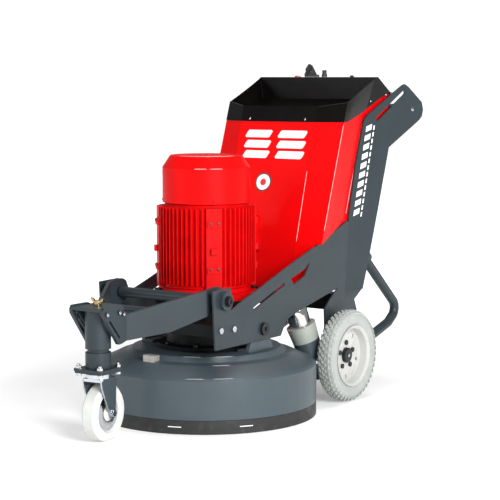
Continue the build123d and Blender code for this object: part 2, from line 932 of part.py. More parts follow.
with BuildPart() as power_inlet:
    with BuildSketch(level(1125.5, 704, -30)):
        RectangleRounded(60, 12, 4)
    extrude(amount=8)
    with BuildSketch(Plane(origin=(-44, HEAD_Y + 704, 1148), z_dir=(0.5, 0, 0.866))):
        Circle(9)
    extrude(amount=20, both=True)
    with BuildSketch(Plane(origin=(-30, HEAD_Y + 700, 1133), x_dir=(1, 0, 0), z_dir=(0, 1, 0))):
        with BuildLine():
            Polyline((-24, 0), (20, 0), (0, -34), (-12, -40), (-26, -22), close=True)
        make_face()
        with Locations((-8, -16)):
            Circle(8, mode=Mode.SUBTRACT)
    extrude(amount=8)
    add(lathe([
        (0, 1125.5), (10, 1125.5), (10, 1134), (8, 1137), (8, 1150), (0, 1150),
    ], 24, 704))
pieces["top_fittings"] = power_inlet.part

door_lean = 0.30
door_axis = (0, door_lean / hypot(1, door_lean), 1 / hypot(1, door_lean))
door_plane = Plane(
    origin=(0, HEAD_Y + 640 + door_lean * 272, hood_foot + 272),
    x_dir=(1, 0, 0),
    z_dir=Vector(1, 0, 0).cross(Vector(*door_axis)),
)
door_out = 1.0 if door_plane.z_dir.Y > 0 else -1.0
with BuildPart() as cabinet_door:
    with BuildSketch(door_plane.offset(1.5 * door_out)):
        with Locations((0, -14)):
            RectangleRounded(432, 500, 6)
        with GridLocations(0, 14, 1, 8):
            with Locations((0, -180)):
                SlotOverall(180, 6, mode=Mode.SUBTRACT)
    extrude(amount=3 * door_out)
    with BuildSketch(door_plane.offset(4.5 * door_out)):
        with Locations((190, 40)):
            RectangleRounded(20, 70, 6)
    extrude(amount=10 * door_out)
pieces["cabinet_door"] = cabinet_door.part

with BuildPart() as inverter:
    with BuildSketch(level(560, 505)):
        RectangleRounded(190, 130, 10)
    extrude(amount=250)
    with BuildSketch(level(hood_foot + 3, 505)):
        Rectangle(428, 200)
    extrude(amount=4)
    with BuildSketch(level(hood_foot + 6.9, 505)):
        with GridLocations(150, 100, 2, 2):
            Circle(10)
    extrude(amount=36)
pieces["inverter"] = inverter.part

# ================================================================ rear wheels
tyre = lathe_across([
    (tyre_in + 10, rim_seat_r + 0.3), (tyre_in + 5.6, rim_r + 0.4), (tyre_in, 124), (tyre_in + 2, 146),
    (tyre_in + 9, 156), (tyre_in + 20, tyre_r), (tyre_out - 20, tyre_r), (tyre_out - 9, 156),
    (tyre_out - 2, 146), (tyre_out, 124), (tyre_out - 5.6, rim_r + 0.4), (tyre_out - 10, rim_seat_r + 0.3),
], wheel_y, tyre_r)
pieces["tyre_right"] = tyre
pieces["tyre_left"] = mirrored(tyre)
bolt_circle_r = 44.0
rim_profile = [
    (238, drive_shaft_r + RUN), (238, 30), (disc_x, 30), (disc_x, 92), (tyre_in + 8, 96),
    (tyre_in + 2, rim_r), (tyre_in + 4.8, rim_r), (tyre_in + 9, rim_seat_r), (tyre_out - 9, rim_seat_r),
    (tyre_out - 4.8, rim_r), (tyre_out - 2, rim_r), (tyre_out - 8, 96), (disc_x + 8, 92),
    (disc_x + 5, 88), (disc_x + 5, drive_shaft_r + RUN),
]
with BuildPart() as rim:
    add(lathe_across(rim_profile, wheel_y, tyre_r))
    with BuildSketch(side(disc_x - 20)):
        with Locations((wheel_y, tyre_r)):
            with PolarLocations(bolt_circle_r, 5, 18):
                Circle(5.1)
            with PolarLocations(76, 5, 54):
                Circle(7)
    extrude(amount=40, mode=Mode.SUBTRACT)
pieces["wheel_rim_right"] = rim.part
pieces["wheel_rim_left"] = mirrored(rim.part)
with BuildPart() as wheel_hardware:
    add(lathe_across([
        (disc_x + 5.1, 0), (disc_x + 5.1, 27), (disc_x + 16, 26), (disc_x + 18, 22), (disc_x + 18, 0),
    ], wheel_y, tyre_r))
    with BuildSketch(side(disc_x - 6)):
        with Locations((wheel_y, tyre_r)):
            with PolarLocations(bolt_circle_r, 5, 18):
                Circle(5)
    extrude(amount=11.1)
    with BuildSketch(side(disc_x + 5.1)):
        with Locations((wheel_y, tyre_r)):
            with PolarLocations(bolt_circle_r, 5, 18):
                RegularPolygon(9, 6)
    extrude(amount=6)
    add(lathe_across([
        (200, 0), (200, drive_shaft_r), (disc_x + 5, drive_shaft_r), (disc_x + 5, 0),
    ], wheel_y, tyre_r))
pieces["wheel_hardware_right"] = wheel_hardware.part
pieces["wheel_hardware_left"] = mirrored(wheel_hardware.part)
drive_motor = lathe_across([
    (96, 0), (96, 30), (176, 30), (180, 34), (plate_x, 34), (plate_x + 2, 34),
    (plate_x + 2, drive_shaft_r + RUN), (198, drive_shaft_r + RUN), (198, 0),
], wheel_y, tyre_r)
pieces["drive_motors"] = both_sides(drive_motor)

# ================================================================ folding front support
arm_side = [
    (-181, 432), (-190, 452), (-205, 461), (-240, 462), (-284, 455), (-522, 394), (-527, 422), (-545, 430),
    (-618, 430), (-624, 420), (-624, 406), (-552, 309), (-540, 309), (-515, 316), (-387, 332), (-262, 379),
    (-240, 377), (-205, 380), (-184, 400),
]
yoke_bolts = [(-609, 408), (-549, 408), (-530, 402)]
with BuildPart() as support_arm:
    with BuildSketch(level(290, support_y)):
        with BuildLine():
            Polyline(
                (191, 60), (203, 60), (203, -54), (68, -290),
                (68, -420), (56, -420), (56, -287), (191, -51),
                close=True,
            )
        make_face()
    extrude(amount=190)
    add(profile_prism(arm_side, 40, 220), mode=Mode.INTERSECT)
    with BuildSketch(side(50)):
        with Locations(*yoke_bolts):
            Circle(5.1)
        with Locations((-571, 357.5)):
            SlotOverall(76, 7, rotation=-50)
    extrude(amount=20, mode=Mode.SUBTRACT)
    with BuildSketch(side(180)):
        with Locations((support_y, support_z)):
            Circle(support_shaft_r + RUN)
    extrude(amount=40, mode=Mode.SUBTRACT)
    with BuildSketch(side(203)):
        with Locations((support_y, support_z)):
            Circle(32)
            Circle(support_shaft_r + RUN, mode=Mode.SUBTRACT)
    extrude(amount=22)
arm_pair = [support_arm.part, mirrored(support_arm.part)]
pieces["support_arms"] = Compound(children=arm_pair)

with BuildPart() as yoke:
    with BuildSketch(level(415, caster_y)):
        with BuildLine():
            Polyline((-55.5, -54), (55.5, -54), (55.5, 62), (-55.5, 62), close=True)
        make_face()
        Circle(9.1, mode=Mode.SUBTRACT)
    extrude(amount=11)
    with BuildSketch(level(294, caster_y)):
        Circle(sleeve_r)
        Circle(post_r + RUN, mode=Mode.SUBTRACT)
    extrude(amount=121)
    for x0 in (-52, 44):
        with BuildSketch(side(x0)):
            with BuildLine():
                Polyline((-617, 415), (-507, 415), (-507, 330), (-540, 330), close=True)
            make_face()
            with Locations(*yoke_bolts):
                Circle(5.1, mode=Mode.SUBTRACT)
        extrude(amount=8)
    with BuildSketch(side(-113)):
        with Locations((-395, 392)):
            Circle(14)
    extrude(amount=226)
with BuildPart() as yoke_bolt:
    with BuildSketch(side(44)):
        with Locations(*yoke_bolts):
            Circle(5)
    extrude(amount=24.1)
    with BuildSketch(side(68.1)):
        with Locations(*yoke_bolts):
            RegularPolygon(8, 6)
    extrude(amount=6)
pieces["support_yoke"] = Compound(
    children=[yoke.part, *yoke_bolt.part.solids(), *mirrored(yoke_bolt.part).solids()]
)

with BuildPart() as caster_post:
    with BuildSketch(level(226, caster_y)):
        RectangleRounded(112, 112, 8)
        with GridLocations(86, 86, 2, 2):
            Circle(5.6, mode=Mode.SUBTRACT)
    extrude(amount=8)
    with BuildSketch(level(234, caster_y)):
        Circle(sleeve_r)
    extrude(amount=49)
    with BuildSketch(level(283, caster_y)):
        Circle(post_r)
    extrude(amount=107)
    with BuildSketch(level(220, caster_y)):
        RectangleRounded(108, 108, 8)
        with GridLocations(86, 86, 2, 2):
            Circle(5.6, mode=Mode.SUBTRACT)
    extrude(amount=6)
    with BuildSketch(level(206, caster_y)):
        Circle(12)
    extrude(amount=14)
pieces["caster_post"] = caster_post.part
with BuildPart() as caster_bolts:
    with BuildSketch(level(212, caster_y)):
        with GridLocations(86, 86, 2, 2):
            Circle(5.5)
    extrude(amount=36)
    with BuildSketch(level(234.1, caster_y)):
        with GridLocations(86, 86, 2, 2):
            RegularPolygon(10, 6)
    extrude(amount=8)
    with BuildSketch(level(212, caster_y)):
        with GridLocations(86, 86, 2, 2):
            RegularPolygon(10, 6)
    extrude(amount=7.9)
pieces["caster_bolts"] = caster_bolts.part

fork_gap = caster_width / 2 + 6
axle_y = caster_y + caster_trail
post_axis = Axis((0, HEAD_Y + caster_y, 0), (0, 0, 1))
with BuildPart() as caster_fork:
    with BuildSketch(level(203, caster_y)):
        Circle(40)
        Circle(12.06, mode=Mode.SUBTRACT)
    extrude(amount=13)
    with BuildSketch(level(194, caster_y)):
        with Locations((0, 4)):
            RectangleRounded(2 * fork_gap + 10, 84, 10)
    extrude(amount=9)
    for x0 in (-fork_gap - 5, fork_gap):
        with BuildSketch(side(x0)):
            with BuildLine():
                Polyline(
                    (caster_y - 38, 198), (caster_y + 46, 198), (caster_y + 46, 170),
                    (axle_y + 16, caster_r), (axle_y + 6, caster_r - 17), (axle_y - 10, caster_r - 17),
                    (axle_y - 18, caster_r), (caster_y - 34, 176), close=True,
                )
            make_face()
        extrude(amount=5)
    with BuildSketch(side(-fork_gap - 12)):
        with Locations((axle_y, caster_r)):
            Circle(7)
    extrude(amount=2 * fork_gap + 24)
    for x0 in (-fork_gap - 12, fork_gap + 5):
        with BuildSketch(side(x0)):
            with Locations((axle_y, caster_r)):
                RegularPolygon(12, 6)
        extrude(amount=7)
pieces["caster_fork"] = caster_fork.part.rotate(post_axis, caster_turn)
half_w = caster_width / 2
caster_wheel = lathe_across([
    (-half_w - 4, 7 + RUN), (-half_w - 4, 18), (-half_w + 6, 24), (-half_w + 8, 58), (-half_w, 64),
    (-half_w, caster_r - 8), (-half_w + 8, caster_r), (half_w - 8, caster_r), (half_w, caster_r - 8),
    (half_w, 64), (half_w - 8, 58), (half_w - 6, 24), (half_w + 4, 18), (half_w + 4, 7 + RUN),
], axle_y, caster_r)
pieces["caster_wheel"] = caster_wheel.rotate(post_axis, caster_turn)

with BuildPart() as clamp_wing:
    add(lathe([(0, 404), (9, 404), (9, 430), (14, 430), (14, 442), (0, 442)], 0, caster_y))
    with BuildSketch(upright(caster_y + 4)):
        with BuildLine():
            Polyline(
                (-25, 451), (-22, 440), (22, 440), (25, 451),
                (15, 447), (9, 440.5), (-9, 440.5), (-15, 447),
                close=True,
            )
        make_face()
    extrude(amount=8)
pieces["clamp_wing"] = clamp_wing.part

for name, part in pieces.items():
    part.label = name
    export_step(part, f"parts/{name}.step")
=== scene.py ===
import math

import bmesh
import bpy
from mathutils import Euler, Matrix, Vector


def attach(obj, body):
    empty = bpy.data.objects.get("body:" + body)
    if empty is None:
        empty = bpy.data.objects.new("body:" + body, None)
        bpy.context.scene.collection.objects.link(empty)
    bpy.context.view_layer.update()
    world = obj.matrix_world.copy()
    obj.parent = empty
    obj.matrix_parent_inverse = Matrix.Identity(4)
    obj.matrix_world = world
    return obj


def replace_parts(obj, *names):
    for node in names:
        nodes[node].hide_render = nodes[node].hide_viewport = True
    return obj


# Looks of the concrete grinder: materials, tyre treads, plain graphics and small hardware over the CAD pieces.
# Sizes are in millimetres from the grinding head's axis (x right, y to the rear, z up) unless a comment
# says metres.
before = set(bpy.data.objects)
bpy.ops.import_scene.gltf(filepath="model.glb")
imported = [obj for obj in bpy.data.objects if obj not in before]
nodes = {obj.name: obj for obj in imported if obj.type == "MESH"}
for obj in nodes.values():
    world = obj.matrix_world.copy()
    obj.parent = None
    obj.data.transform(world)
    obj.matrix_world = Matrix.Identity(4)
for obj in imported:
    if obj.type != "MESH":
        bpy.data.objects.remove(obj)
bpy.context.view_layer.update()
HEAD_Y = -0.1645  # the head's axis in the shared frame, metres
SIDES = ((1, "right"), (-1, "left"))
UP = Vector((0, 0, 1))


# ------------------------------------------------------------------ materials
def new_material(name):
    """A new material with its node tree and shader."""
    material = bpy.data.materials.new(name)
    material.use_nodes = True
    tree = material.node_tree
    return material, tree, tree.nodes["Principled BSDF"]


def noise(tree, scale, detail=4.0, rough=0.6, stretch=None):
    """Object-space noise, optionally stretched per axis."""
    coord = tree.nodes.new("ShaderNodeTexCoord")
    node = tree.nodes.new("ShaderNodeTexNoise")
    node.inputs["Scale"].default_value = scale
    node.inputs["Detail"].default_value = detail
    node.inputs["Roughness"].default_value = rough
    if stretch:
        mapping = tree.nodes.new("ShaderNodeMapping")
        mapping.inputs["Scale"].default_value = stretch
        tree.links.new(coord.outputs["Object"], mapping.inputs["Vector"])
        tree.links.new(mapping.outputs["Vector"], node.inputs["Vector"])
    else:
        tree.links.new(coord.outputs["Object"], node.inputs["Vector"])
    return node


def ramp(tree, source, stops):
    """Colour ramp over a source, from (position, colour) stops."""
    node = tree.nodes.new("ShaderNodeValToRGB")
    while len(node.color_ramp.elements) < len(stops):
        node.color_ramp.elements.new(0.5)
    for element, (pos, colour) in zip(node.color_ramp.elements, stops):
        element.position = pos
        element.color = colour if len(colour) == 4 else (*colour, 1)
    tree.links.new(source, node.inputs["Fac"])
    return node


def grey(value):
    return (value, value, value, 1)


def finish(name, base, var=0.12, rough=0.35, rough_var=0.08, metallic=0.0, coat=0.0, coat_rough=0.08,
           scale=14.0, bump=0.02, bump_scale=260.0, bevel=0.0012, specular=0.5, stretch=None, dust=None):
    """Painted, plated or moulded surface: colour drift, uneven gloss, fine texture, softened edges."""
    material, tree, bsdf = new_material(name)
    drift = noise(tree, scale, 5.0, 0.62, stretch)
    dark = tuple(c * (1 - var) for c in base)
    light = tuple(min(1.0, c * (1 + var)) for c in base)
    colour = ramp(tree, drift.outputs["Fac"], [(0.3, dark), (0.7, light)]).outputs["Color"]
    if dust:
        dust_colour, dust_amount = dust
        patches = noise(tree, scale * 2.6, 8.0, 0.7)
        mask = ramp(tree, patches.outputs["Fac"], [(0.52, grey(0.0)), (0.78, grey(dust_amount))])
        mix = tree.nodes.new("ShaderNodeMix")
        mix.data_type = "RGBA"
        mix.inputs["B"].default_value = (*dust_colour, 1)
        tree.links.new(colour, mix.inputs["A"])
        tree.links.new(mask.outputs["Color"], mix.inputs["Factor"])
        colour = mix.outputs["Result"]
    tree.links.new(colour, bsdf.inputs["Base Color"])
    wear = noise(tree, scale * 1.7, 6.0, 0.65)
    glossy, matt = grey(max(0.02, rough - rough_var)), grey(rough + rough_var)
    gloss = ramp(tree, wear.outputs["Fac"], [(0.3, glossy), (0.75, matt)])
    tree.links.new(gloss.outputs["Color"], bsdf.inputs["Roughness"])
    bsdf.inputs["Metallic"].default_value = metallic
    bsdf.inputs["Coat Weight"].default_value = coat
    bsdf.inputs["Coat Roughness"].default_value = coat_rough
    bsdf.inputs["Specular IOR Level"].default_value = specular
    grain = noise(tree, bump_scale, 3.0, 0.5, stretch)
    relief = tree.nodes.new("ShaderNodeBump")
    relief.inputs["Strength"].default_value = bump
    relief.inputs["Distance"].default_value = 0.002
    tree.links.new(grain.outputs["Fac"], relief.inputs["Height"])
    if bevel:
        soft_edge = tree.nodes.new("ShaderNodeBevel")
        soft_edge.samples = 4
        soft_edge.inputs["Radius"].default_value = bevel
        tree.links.new(soft_edge.outputs["Normal"], relief.inputs["Normal"])
    tree.links.new(relief.outputs["Normal"], bsdf.inputs["Normal"])
    return material


# key: name, colour, colour drift, roughness, roughness drift, then what differs from the defaults
MAT = {
    "red": finish("red_enamel", (0.68, 0.0012, 0.002), 0.06, 0.42, 0.06, coat=0.03, coat_rough=0.12,
                  scale=5, bump=0.03, bevel=0.003, specular=0.07),
    "red_cast": finish("red_casting", (0.58, 0.0012, 0.002), 0.12, 0.46, 0.08, coat=0.01, coat_rough=0.2,
                       scale=18, bump=0.10, bump_scale=420, specular=0.08),
    "dark_red": finish("sealed_bolt_red", (0.09, 0.003, 0.003), 0.1, 0.45, 0.08, scale=30, bump=0.05),
    "slate": finish("slate_powder_coat", (0.046, 0.066, 0.078), 0.10, 0.4, 0.06, coat=0.10, coat_rough=0.25,
                    scale=7, bump=0.05, bump_scale=700, bevel=0.0016, specular=0.4),
    # darker copy of the slate paint for the side plates, arms and tubes: painted shade
    "slate_shaded": finish("slate_coat_painted_shade", (0.022, 0.033, 0.039), 0.10, 0.42, 0.06, coat=0.05,
                          coat_rough=0.25, scale=7, bump=0.05, bump_scale=700, bevel=0.0016, specular=0.3),
    # near-black slate for parts that sit in shadow under the arms: painted shade
    "slate_deep_shade": finish("slate_painted_deep_shade", (0.007, 0.008, 0.009), 0.15, 0.5, 0.08, scale=9, bump=0.06,
                         bump_scale=600, specular=0.15),
    "black": finish("black_gloss", (0.003, 0.0022, 0.0022), 0.2, 0.2, 0.05, coat=0.04, coat_rough=0.05,
                    scale=6, bump=0.02, specular=0.12),
    "black_plastic": finish("black_plastic", (0.012, 0.012, 0.013), 0.2, 0.45, 0.1, scale=30, bump=0.12,
                            bump_scale=900),
    "black_steel": finish("black_oxide", (0.02, 0.021, 0.023), 0.2, 0.38, 0.1, metallic=0.6, scale=40,
                          bump=0.05),
    "rubber": finish("skirt_rubber", (0.012, 0.0125, 0.013), 0.25, 0.55, 0.1, scale=16, bump=0.15,
                     bump_scale=500, dust=((0.10, 0.10, 0.10), 0.35)),
    "grey_rubber": finish("grey_cuff", (0.34, 0.36, 0.33), 0.06, 0.5, 0.08, scale=20, bump=0.06,
                          bump_scale=500),
    "tyre": finish("grey_tyre", (0.37, 0.39, 0.375), 0.08, 0.62, 0.08, scale=24, bump=0.12,
                   bump_scale=600, bevel=0.0008),
    "cream": finish("rim_enamel", (0.5, 0.5, 0.485), 0.05, 0.3, 0.06, coat=0.3, scale=14, bump=0.02,
                    dust=((0.42, 0.36, 0.28), 0.35)),
    "nylon": finish("white_nylon", (0.62, 0.63, 0.60), 0.04, 0.38, 0.06, scale=20, bump=0.03,
                    dust=((0.5, 0.47, 0.42), 0.25)),
    "zinc": finish("bright_zinc", (0.46, 0.47, 0.49), 0.06, 0.2, 0.04, metallic=1.0, scale=60, bump=0.04),
    "chrome": finish("bright_plating", (0.5, 0.54, 0.58), 0.03, 0.12, 0.02, metallic=1.0, scale=20,
                     bump=0.01),
    "cast": finish("cast_aluminium", (0.40, 0.39, 0.36), 0.12, 0.45, 0.08, metallic=0.4, scale=40, bump=0.3),
    "stainless": finish("polished_stainless", (0.62, 0.62, 0.61), 0.06, 0.12, 0.05, metallic=1.0, scale=30,
                        bump=0.02),
    "steel": finish("machined_steel", (0.45, 0.45, 0.46), 0.12, 0.32, 0.08, metallic=1.0, scale=40,
                    bump=0.05, stretch=(1, 1, 6)),
    "segment": finish("sintered_segment", (0.2, 0.18, 0.15), 0.25, 0.6, 0.1, metallic=0.7, scale=80,
                      bump=0.5, bump_scale=1400),
    "brass": finish("brass", (0.42, 0.33, 0.15), 0.12, 0.25, 0.08, metallic=1.0, scale=60, bump=0.05),
    "grey_plastic": finish("grey_housing", (0.28, 0.29, 0.3), 0.08, 0.45, 0.08, scale=20, bump=0.08,
                           bump_scale=600),
    "copper": finish("stator_core", (0.35, 0.33, 0.31), 0.2, 0.45, 0.1, metallic=0.8, scale=50, bump=0.1,
                     stretch=(1, 1, 40)),
    # pale pink beads on the red paint: painted highlights on round edges and folds
    "red_edge_highlight": finish("painted_highlight_on_red", (0.8, 0.45, 0.44), 0.2, 0.3, 0.1, scale=30, bump=0.05, bevel=0),
    # pale beads on the slate cover: painted highlights on its rolled edges
    "slate_edge_highlight": finish("painted_highlight_on_slate", (0.36, 0.40, 0.42), 0.4, 0.3, 0.1, scale=9, bump=0.05, bevel=0),
    "white": finish("white_graphic", (0.86, 0.86, 0.85), 0.02, 0.35, 0.05, scale=20, bump=0.01, bevel=0),
    "dark_graphic": finish("dark_graphic", (0.03, 0.03, 0.032), 0.1, 0.4, 0.05, scale=20, bump=0.01, bevel=0),
    "label_red": finish("red_graphic", (0.6, 0.01, 0.01), 0.05, 0.35, 0.05, scale=20, bump=0.01, bevel=0),
    "estop": finish("estop_red", (0.6, 0.01, 0.008), 0.05, 0.25, 0.05, coat=0.3, scale=20, bump=0.02),
}

# which CAD pieces wear which material
PIECES_OF = {
    "slate": ("head_cover", "trunnion_brackets"),
    "rubber": ("dust_skirt", "satellite_belts"),
    "grey_rubber": ("dust_cuff",),
    "stainless": ("dust_pipe",),
    "cast": ("inspection_latch",),
    "steel": ("sun_pulley", "head_bearings", "motor_rotor", "drum_base", "drum_lid", "drum_shaft",
              "satellite_bearings", "satellite_spindle_1", "grinding_disc_1", "satellite_spindle_2",
              "grinding_disc_2", "satellite_spindle_3", "grinding_disc_3"),
    # reducer and beams are darkened to stand for the shadow under the arms: painted shade
    "slate_deep_shade": ("reducer_housing", "chassis_beams"),
    "black_steel": ("head_bolts", "pivot_pins", "drive_motors", "wheel_hardware_right",
                    "wheel_hardware_left"),
    "red_cast": ("motor_frame", "motor_flange", "terminal_box"),
    "red": ("motor_cowl", "hood"),
    "copper": ("motor_stator",),
    "grey_plastic": ("motor_fan", "inverter"),
    # the plates, tubes and arms take the darker slate copy: painted shade
    "slate_shaded": ("side_plate_right", "side_plate_left", "guard_tubes", "push_bar", "support_arms",
                    "support_yoke", "caster_post"),
    "zinc": ("frame_bolts", "caster_bolts"),
    "black": ("top_cowl", "cabinet_door"),
    "black_plastic": ("panel_fittings", "top_fittings", "main_switch"),
    "estop": ("estop_button",),
    "brass": ("clamp_wing",),
    "chrome": ("caster_fork",),
    "nylon": ("caster_wheel",),
    "tyre": ("tyre_right", "tyre_left"),
    "cream": ("wheel_rim_right", "wheel_rim_left"),
    "segment": ("diamond_segments_1", "diamond_segments_2", "diamond_segments_3"),
}


for key, pieces in PIECES_OF.items():
    for piece in pieces:
        nodes[piece].data.materials.clear()
        nodes[piece].data.materials.append(MAT[key])


# ------------------------------------------------------------------ mesh helpers
def smooth(obj, angle):
    """Smooth shading with creases kept at edges sharper than an angle in degrees."""
    mesh = obj.data
    for face in mesh.polygons:
        face.use_smooth = True
    bm = bmesh.new()
    bm.from_mesh(mesh)
    limit = math.radians(angle)
    for edge in bm.edges:
        edge.smooth = len(edge.link_faces) == 2 and edge.calc_face_angle(0.0) < limit
    bm.to_mesh(mesh)
    bm.free()


def link(bm, name, mat, body, crease=32.0):
    """A named piece from a bmesh, with its material and the body it rides on."""
    mesh = bpy.data.meshes.new(name)
    bm.normal_update()
    bm.to_mesh(mesh)
    bm.free()
    obj = bpy.data.objects.new(name, mesh)
    bpy.context.scene.collection.objects.link(obj)
    obj.data.materials.append(MAT[mat])
    smooth(obj, crease)
    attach(obj, body)
    return obj


def rel(x, y, z):
    """Millimetres from the head axis to metres in the shared frame."""
    return Vector((x / 1000, y / 1000 + HEAD_Y, z / 1000))


def mirrored(vector, side):
    """The vector itself on the right side, its mirror image on the left."""
    return Vector((vector.x * side, vector.y, vector.z))


def bridge(bm, ring_a, ring_b):
    """Quads between two closed rings of vertices."""
    count = len(ring_a)
    for i in range(count):
        j = (i + 1) % count
        bm.faces.new((ring_a[i], ring_a[j], ring_b[j], ring_b[i]))


# ------------------------------------------------------------------ rear tyres with block tread
WHEEL_Y, WHEEL_Z = 432, 160
TYRE_X = 292  # middle of the right tyre
TYRE_R = 160
CASING_R = TYRE_R - 5.5
# half of the casing's outline: distance from the tyre's middle and radius
CASING_HALF = [(15, CASING_R - 0.6), (24, 150.5), (29, 144), (31, 133), (31, 122), (29, 113),
               (25.2, 107.6), (21, 100.6)]
CASING = [(-x, r) for x, r in reversed(CASING_HALF)] + [(0, CASING_R)] + CASING_HALF
BLOCKS = 44
BLOCK_SPAN = 2 * math.pi / BLOCKS * 0.64
BLOCK_SLANT = 0.02  # radians
BLOCK_SHRINK = 0.9  # how much narrower a block is at its top, each side
SHOULDER_X, SHOULDER_DROP = 27, 2.5
# rows of blocks: middle, width, stagger as a share of the pitch, and drop below the full radius
TREAD_ROWS = [(-26.5, 7.5, 0.0, 6.0), (-16, 8.5, 0.5, 1.2), (-5.4, 8.2, 0.0, 0.0),
              (5.4, 8.2, 0.5, 0.0), (16, 8.5, 0.0, 1.2), (26.5, 7.5, 0.5, 6.0)]


def on_tyre(x, r, angle):
    """A point in metres about the wheel's centre, from distance to the tyre's middle, radius and angle."""
    return ((TYRE_X + x) / 1000, r * math.cos(angle) / 1000, r * math.sin(angle) / 1000)


def tread_block(bm, row_x, width, drop, middle):
    """One raised block: a tapered box sunk into the casing, lower at the tyre's shoulder."""
    slant = BLOCK_SLANT if row_x < 0 else -BLOCK_SLANT
    low = CASING_R - drop - 4
    top = TYRE_R - drop - 0.4
    ends = []
    for r, shrink in ((low, 0.0), (top, BLOCK_SHRINK)):
        ring = []
        for sx, sa in ((-1, -1), (1, -1), (1, 1), (-1, 1)):
            x = row_x + sx * (width / 2 - shrink)
            angle = middle + sa * (BLOCK_SPAN / 2) * (1 - shrink * 0.09) + slant * sx
            shoulder = SHOULDER_DROP if r == top and abs(x) > SHOULDER_X else 0
            ring.append(bm.verts.new(on_tyre(x, r - shoulder, angle)))
        ends.append(ring)
    bm.faces.new(ends[1])
    bridge(bm, *ends)


def tyre(name, side, body):
    """Foam-filled tyre: lathed casing with rounded shoulders and a staggered block tread."""
    bm = bmesh.new()
    steps = BLOCKS * 4
    rings = []
    for i in range(steps):
        angle = 2 * math.pi * i / steps
        rings.append([bm.verts.new(on_tyre(x, r, angle)) for x, r in CASING])
    for i in range(steps):
        bridge(bm, rings[i], rings[(i + 1) % steps])
    for row_x, width, stagger, drop in TREAD_ROWS:
        for i in range(BLOCKS):
            tread_block(bm, row_x, width, drop, 2 * math.pi * (i + stagger) / BLOCKS)
    bmesh.ops.recalc_face_normals(bm, faces=bm.faces)
    centre = rel(0, WHEEL_Y, WHEEL_Z)
    for v in bm.verts:
        v.co = Vector((v.co.x * side, v.co.y + centre.y, v.co.z + centre.z))
    if side < 0:
        bmesh.ops.reverse_faces(bm, faces=bm.faces)
    return link(bm, name, "tyre", body)


for side, tag in SIDES:
    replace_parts(tyre(f"tread_tyre_{tag}", side, f"wheel_{tag}"), f"tyre_{tag}")


# ------------------------------------------------------------------ plain graphics in place of lettering
MARK_FOOT, MARK_TOP = 0.00015, 0.0006  # metres above the painted surface
GRAPHIC_CREASE = 20


def marking(name, points, normal):
    """White mark on the cabinet or a column: a flat outline with a little thickness along the normal."""
    bm = bmesh.new()
    low = [bm.verts.new(p + normal * MARK_FOOT) for p in points]
    high = [bm.verts.new(p + normal * MARK_TOP) for p in points]
    bm.faces.new(high)
    bridge(bm, low, high)
    bmesh.ops.recalc_face_normals(bm, faces=bm.faces)
    link(bm, name, "white", "chassis", GRAPHIC_CREASE)


# the hood's front facet leans back from a line across its foot
HOOD_FOOT_Y, HOOD_FOOT_Z = 303, 518
HOOD_LEAN = 0.28
hood_up = Vector((0, HOOD_LEAN, 1)).normalized()
hood_normal = Vector((0, -1, HOOD_LEAN)).normalized()


def hood_point(x, z):
    """A point on the hood's front facet, from width and height in mm."""
    return rel(x, HOOD_FOOT_Y + HOOD_LEAN * (z - HOOD_FOOT_Z), z)


# two stacks of three slanted bars with cut corners
SLANT = 5
for column, (x0, x1) in enumerate(((-126, -18), (12, 128)), 1):
    for row, (z0, z1) in enumerate(((912, 938), (876, 902), (840, 866)), 1):
        outline = [(x0 + 9 + SLANT, z1), (x1 - 4 + SLANT, z1), (x1 + SLANT, z1 - 5), (x1 - 4, z0 + 4),
                   (x1 - 10, z0), (x0 + 4, z0), (x0, z0 + 5), (x0 + 4 + SLANT, z1 - 5)]
        marking(f"hood_bar_{column}_{row}", [hood_point(x, z) for x, z in reversed(outline)], hood_normal)

# a plain round badge
BADGE_X, BADGE_Z = -20, 757
BADGE_STEPS = 48


def badge_part(name, r_in, r_out, lift, mat):
    """Flat ring, or a disc where the inner radius is 0; radii and lift off the hood in metres."""
    bm = bmesh.new()
    centre = hood_point(BADGE_X, BADGE_Z) + hood_normal * lift
    rings = []
    radii = (r_out, r_in) if r_in else (r_out,)
    for r in radii:
        ring = []
        for i in range(BADGE_STEPS):
            angle = 2 * math.pi * i / BADGE_STEPS
            point = centre + Vector((1, 0, 0)) * (r * math.cos(angle)) + hood_up * (r * math.sin(angle))
            ring.append(bm.verts.new(point))
        rings.append(ring)
    if r_in:
        bridge(bm, *rings)
    else:
        bm.faces.new(rings[0])
    bmesh.ops.recalc_face_normals(bm, faces=bm.faces)
    for face in bm.faces:
        if face.normal.dot(hood_normal) < 0:
            face.normal_flip()
    link(bm, name, mat, "chassis", GRAPHIC_CREASE)


badge_part("badge_edge", 0.0285, 0.0335, 0.0004, "dark_graphic")
badge_part("badge_field", 0.0, 0.0285, 0.0004, "white")
badge_part("badge_centre", 0.0, 0.012, 0.0007, "label_red")

# the columns of the side plates lean back along their fold and splay outwards behind it
FOLD_FOOT = Vector((232, 513, 376))
FOLD_RUN, FOLD_RISE = 25, 240
SPLAY = math.radians(9)
fold_len = math.hypot(FOLD_RUN, FOLD_RISE)
fold_up = Vector((0, FOLD_RUN / fold_len, FOLD_RISE / fold_len))
fold_back = Vector((math.sin(SPLAY), math.cos(SPLAY) * FOLD_RISE / fold_len,
                    -math.cos(SPLAY) * FOLD_RUN / fold_len))
column_normal = fold_back.cross(fold_up).normalized()
MARKS_FROM = 262  # height up the fold where the marks begin
MARKS_DRIFT = 0.135


def column_point(back, up, side):
    """A point on a column's outer face, from distances behind and up the fold in mm."""
    return mirrored(rel(*(FOLD_FOOT + fold_back * back + fold_up * up)), side)


